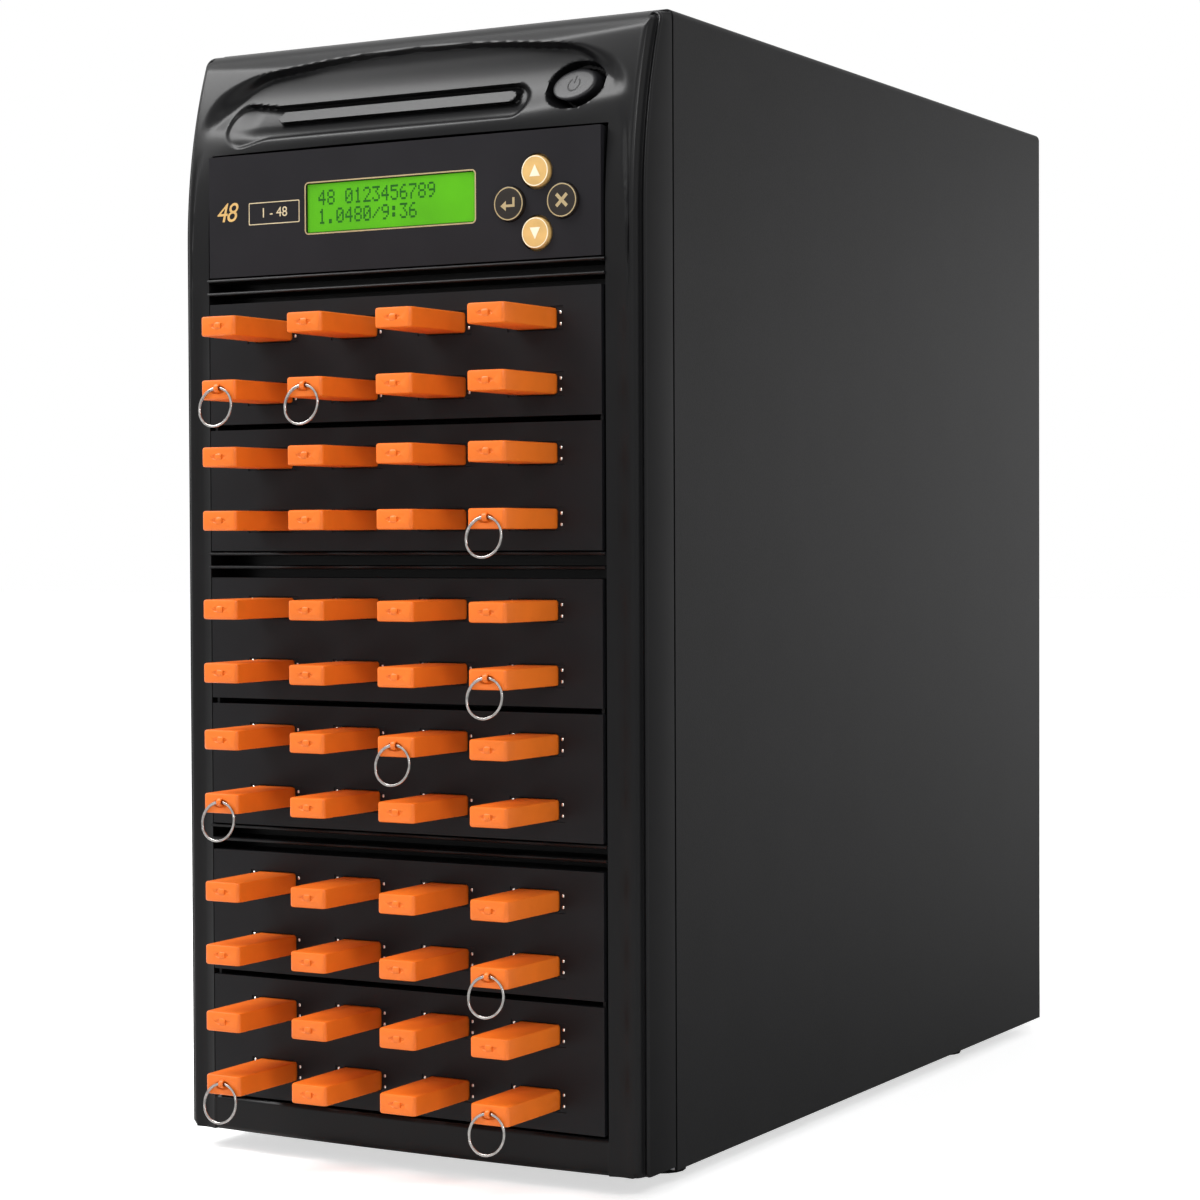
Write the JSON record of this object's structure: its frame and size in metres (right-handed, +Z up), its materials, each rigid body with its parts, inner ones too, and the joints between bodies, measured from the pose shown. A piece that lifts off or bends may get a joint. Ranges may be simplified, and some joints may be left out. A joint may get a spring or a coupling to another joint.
{
  "type": "usb drive duplicator",
  "caption": "Tower USB drive duplicator: moulded front bezel, LCD control unit with push keys, stacked port bays full of plugged-in drives, some with key rings",
  "frame": {"origin": "on the floor under the middle of the object, the plugged-in drives and hanging rings included", "axes": "+X towards the right side of the machine as its user sees it, +Y towards its rear, +Z up; the drives point to -Y"},
  "size_m": [0.1772, 0.385, 0.3735],
  "materials": {
    "bezel_plastic": "fine texture, satin black",
    "cover_paint": "fine texture powder coat, black",
    "faceplate_paint": "satin black",
    "sheet_steel": "plain zinc plated",
    "rubber_black": "matte",
    "screw_steel": "plated",
    "ring_steel": "bright",
    "drive_plastic": "soft satin orange",
    "button_plastic": "smooth black",
    "key_gold": "gold coloured film",
    "key_dark": "smooth black with a pale ring",
    "lcd_green": "lit green display",
    "board_green": "solder mask",
    "socket_steel": "nickel plated shell",
    "psu_steel": "galvanised",
    "inlet_plastic": "black",
    "rocker_plastic": "black",
    "fan_plastic": "black"
  },
  "bodies": {
    "machine": {"front_bezel": "bezel_plastic", "outer_cover": "cover_paint", "chassis": "sheet_steel", "rear_panel": "cover_paint", "drive_cage": "sheet_steel", "feet": "rubber_black", "cover_screws": "screw_steel", "power_switch": "inlet_plastic", "control_faceplate": "faceplate_paint", "lcd_module": "lcd_green", "control_board": "board_green", "port_boards": "board_green", "usb_sockets": "socket_steel", "power_supply": "psu_steel", "mains_inlet": "inlet_plastic", "mains_switch_frame": "inlet_plastic", "fan_frame": "fan_plastic", "fan_guard": "screw_steel", "fan_screws": "screw_steel", "port_faceplate_a": "faceplate_paint", "port_faceplate_b": "faceplate_paint", "port_faceplate_c": "faceplate_paint", "port_faceplate_d": "faceplate_paint", "port_faceplate_e": "faceplate_paint", "port_faceplate_f": "faceplate_paint"},
    "drive_source": {"drive_source": "drive_plastic"},
    "drive_r02_c1": {"drive_r02_c1": "drive_plastic"},
    "key_ring_r02_c1": {"key_ring_r02_c1": "ring_steel"},
    "drive_r02_c2": {"drive_r02_c2": "drive_plastic"},
    "key_ring_r02_c2": {"key_ring_r02_c2": "ring_steel"},
    "drive_r04_c4": {"drive_r04_c4": "drive_plastic"},
    "key_ring_r04_c4": {"key_ring_r04_c4": "ring_steel"},
    "drive_r06_c4": {"drive_r06_c4": "drive_plastic"},
    "key_ring_r06_c4": {"key_ring_r06_c4": "ring_steel"},
    "drive_r07_c3": {"drive_r07_c3": "drive_plastic"},
    "key_ring_r07_c3": {"key_ring_r07_c3": "ring_steel"},
    "drive_r08_c1": {"drive_r08_c1": "drive_plastic"},
    "key_ring_r08_c1": {"key_ring_r08_c1": "ring_steel"},
    "drive_r10_c4": {"drive_r10_c4": "drive_plastic"},
    "key_ring_r10_c4": {"key_ring_r10_c4": "ring_steel"},
    "drive_r12_c1": {"drive_r12_c1": "drive_plastic"},
    "key_ring_r12_c1": {"key_ring_r12_c1": "ring_steel"},
    "drive_r12_c4": {"drive_r12_c4": "drive_plastic"},
    "key_ring_r12_c4": {"key_ring_r12_c4": "ring_steel"},
    "drives_bay_a": {"drives_bay_a": "drive_plastic"},
    "drives_bay_b": {"drives_bay_b": "drive_plastic"},
    "drives_bay_c": {"drives_bay_c": "drive_plastic"},
    "drives_bay_d": {"drives_bay_d": "drive_plastic"},
    "drives_bay_e": {"drives_bay_e": "drive_plastic"},
    "drives_bay_f": {"drives_bay_f": "drive_plastic"},
    "power_button": {"power_button": "button_plastic"},
    "key_up": {"key_up": "key_gold"},
    "key_down": {"key_down": "key_gold"},
    "key_enter": {"key_enter": "key_dark"},
    "key_escape": {"key_escape": "key_dark"},
    "mains_rocker": {"mains_rocker": "rocker_plastic"},
    "fan_rotor": {"fan_rotor": "fan_plastic"}
  },
  "joints": [
    {"name": "drive_source_slide", "type": "slide", "parent": "machine", "child": "drive_source", "axis": [0, -1, 0], "range_m": [0, 0.025]},
    {"name": "drive_r02_c1_slide", "type": "slide", "parent": "machine", "child": "drive_r02_c1", "axis": [0, -1, 0], "range_m": [0, 0.025]},
    {"name": "key_ring_r02_c1_swing", "type": "hinge", "parent": "drive_r02_c1", "child": "key_ring_r02_c1", "pos_m": [-0.0498, -0.18986, 0.2558], "axis": [1, 0, 0], "range_deg": [-100, 0]},
    {"name": "drive_r02_c2_slide", "type": "slide", "parent": "machine", "child": "drive_r02_c2", "axis": [0, -1, 0], "range_m": [0, 0.025]},
    {"name": "key_ring_r02_c2_swing", "type": "hinge", "parent": "drive_r02_c2", "child": "key_ring_r02_c2", "pos_m": [-0.016, -0.18986, 0.2558], "axis": [1, 0, 0], "range_deg": [-100, 0]},
    {"name": "drive_r04_c4_slide", "type": "slide", "parent": "machine", "child": "drive_r04_c4", "axis": [0, -1, 0], "range_m": [0, 0.025]},
    {"name": "key_ring_r04_c4_swing", "type": "hinge", "parent": "drive_r04_c4", "child": "key_ring_r04_c4", "pos_m": [0.0516, -0.18986, 0.2135], "axis": [1, 0, 0], "range_deg": [-100, 0]},
    {"name": "drive_r06_c4_slide", "type": "slide", "parent": "machine", "child": "drive_r06_c4", "axis": [0, -1, 0], "range_m": [0, 0.025]},
    {"name": "key_ring_r06_c4_swing", "type": "hinge", "parent": "drive_r06_c4", "child": "key_ring_r06_c4", "pos_m": [0.0516, -0.18986, 0.16415], "axis": [1, 0, 0], "range_deg": [-100, 0]},
    {"name": "drive_r07_c3_slide", "type": "slide", "parent": "machine", "child": "drive_r07_c3", "axis": [0, -1, 0], "range_m": [0, 0.025]},
    {"name": "key_ring_r07_c3_swing", "type": "hinge", "parent": "drive_r07_c3", "child": "key_ring_r07_c3", "pos_m": [0.0178, -0.18986, 0.14245], "axis": [1, 0, 0], "range_deg": [-100, 0]},
    {"name": "drive_r08_c1_slide", "type": "slide", "parent": "machine", "child": "drive_r08_c1", "axis": [0, -1, 0], "range_m": [0, 0.025]},
    {"name": "key_ring_r08_c1_swing", "type": "hinge", "parent": "drive_r08_c1", "child": "key_ring_r08_c1", "pos_m": [-0.0498, -0.18986, 0.12185], "axis": [1, 0, 0], "range_deg": [-100, 0]},
    {"name": "drive_r10_c4_slide", "type": "slide", "parent": "machine", "child": "drive_r10_c4", "axis": [0, -1, 0], "range_m": [0, 0.025]},
    {"name": "key_ring_r10_c4_swing", "type": "hinge", "parent": "drive_r10_c4", "child": "key_ring_r10_c4", "pos_m": [0.0516, -0.18986, 0.0725], "axis": [1, 0, 0], "range_deg": [-100, 0]},
    {"name": "drive_r12_c1_slide", "type": "slide", "parent": "machine", "child": "drive_r12_c1", "axis": [0, -1, 0], "range_m": [0, 0.025]},
    {"name": "key_ring_r12_c1_swing", "type": "hinge", "parent": "drive_r12_c1", "child": "key_ring_r12_c1", "pos_m": [-0.0498, -0.18986, 0.0302], "axis": [1, 0, 0], "range_deg": [-100, 0]},
    {"name": "drive_r12_c4_slide", "type": "slide", "parent": "machine", "child": "drive_r12_c4", "axis": [0, -1, 0], "range_m": [0, 0.025]},
    {"name": "key_ring_r12_c4_swing", "type": "hinge", "parent": "drive_r12_c4", "child": "key_ring_r12_c4", "pos_m": [0.0516, -0.18986, 0.0302], "axis": [1, 0, 0], "range_deg": [-100, 0]},
    {"name": "drives_bay_a_slide", "type": "slide", "parent": "machine", "child": "drives_bay_a", "axis": [0, -1, 0], "range_m": [0, 0.025]},
    {"name": "drives_bay_b_slide", "type": "slide", "parent": "machine", "child": "drives_bay_b", "axis": [0, -1, 0], "range_m": [0, 0.025]},
    {"name": "drives_bay_c_slide", "type": "slide", "parent": "machine", "child": "drives_bay_c", "axis": [0, -1, 0], "range_m": [0, 0.025]},
    {"name": "drives_bay_d_slide", "type": "slide", "parent": "machine", "child": "drives_bay_d", "axis": [0, -1, 0], "range_m": [0, 0.025]},
    {"name": "drives_bay_e_slide", "type": "slide", "parent": "machine", "child": "drives_bay_e", "axis": [0, -1, 0], "range_m": [0, 0.025]},
    {"name": "drives_bay_f_slide", "type": "slide", "parent": "machine", "child": "drives_bay_f", "axis": [0, -1, 0], "range_m": [0, 0.025]},
    {"name": "power_button_slide", "type": "slide", "parent": "machine", "child": "power_button", "axis": [0, 1, 0], "range_m": [0, 0.0025], "stiffness_N_per_m": 1600, "springref_m": -0.0012},
    {"name": "key_up_slide", "type": "slide", "parent": "machine", "child": "key_up", "axis": [0, 1, 0], "range_m": [0, 0.0008], "stiffness_N_per_m": 2500, "springref_m": -0.0006},
    {"name": "key_down_slide", "type": "slide", "parent": "machine", "child": "key_down", "axis": [0, 1, 0], "range_m": [0, 0.0008], "stiffness_N_per_m": 2500, "springref_m": -0.0006},
    {"name": "key_enter_slide", "type": "slide", "parent": "machine", "child": "key_enter", "axis": [0, 1, 0], "range_m": [0, 0.0008], "stiffness_N_per_m": 2500, "springref_m": -0.0006},
    {"name": "key_escape_slide", "type": "slide", "parent": "machine", "child": "key_escape", "axis": [0, 1, 0], "range_m": [0, 0.0008], "stiffness_N_per_m": 2500, "springref_m": -0.0006},
    {"name": "mains_rocker_tilt", "type": "hinge", "parent": "machine", "child": "mains_rocker", "pos_m": [-0.048, 0.18434, 0.322], "axis": [1, 0, 0], "range_deg": [-16, 0]},
    {"name": "fan_spin", "type": "hinge", "parent": "machine", "child": "fan_rotor", "pos_m": [0, 0.17734, 0.2], "axis": [0, 1, 0], "continuous": true}
  ]
}
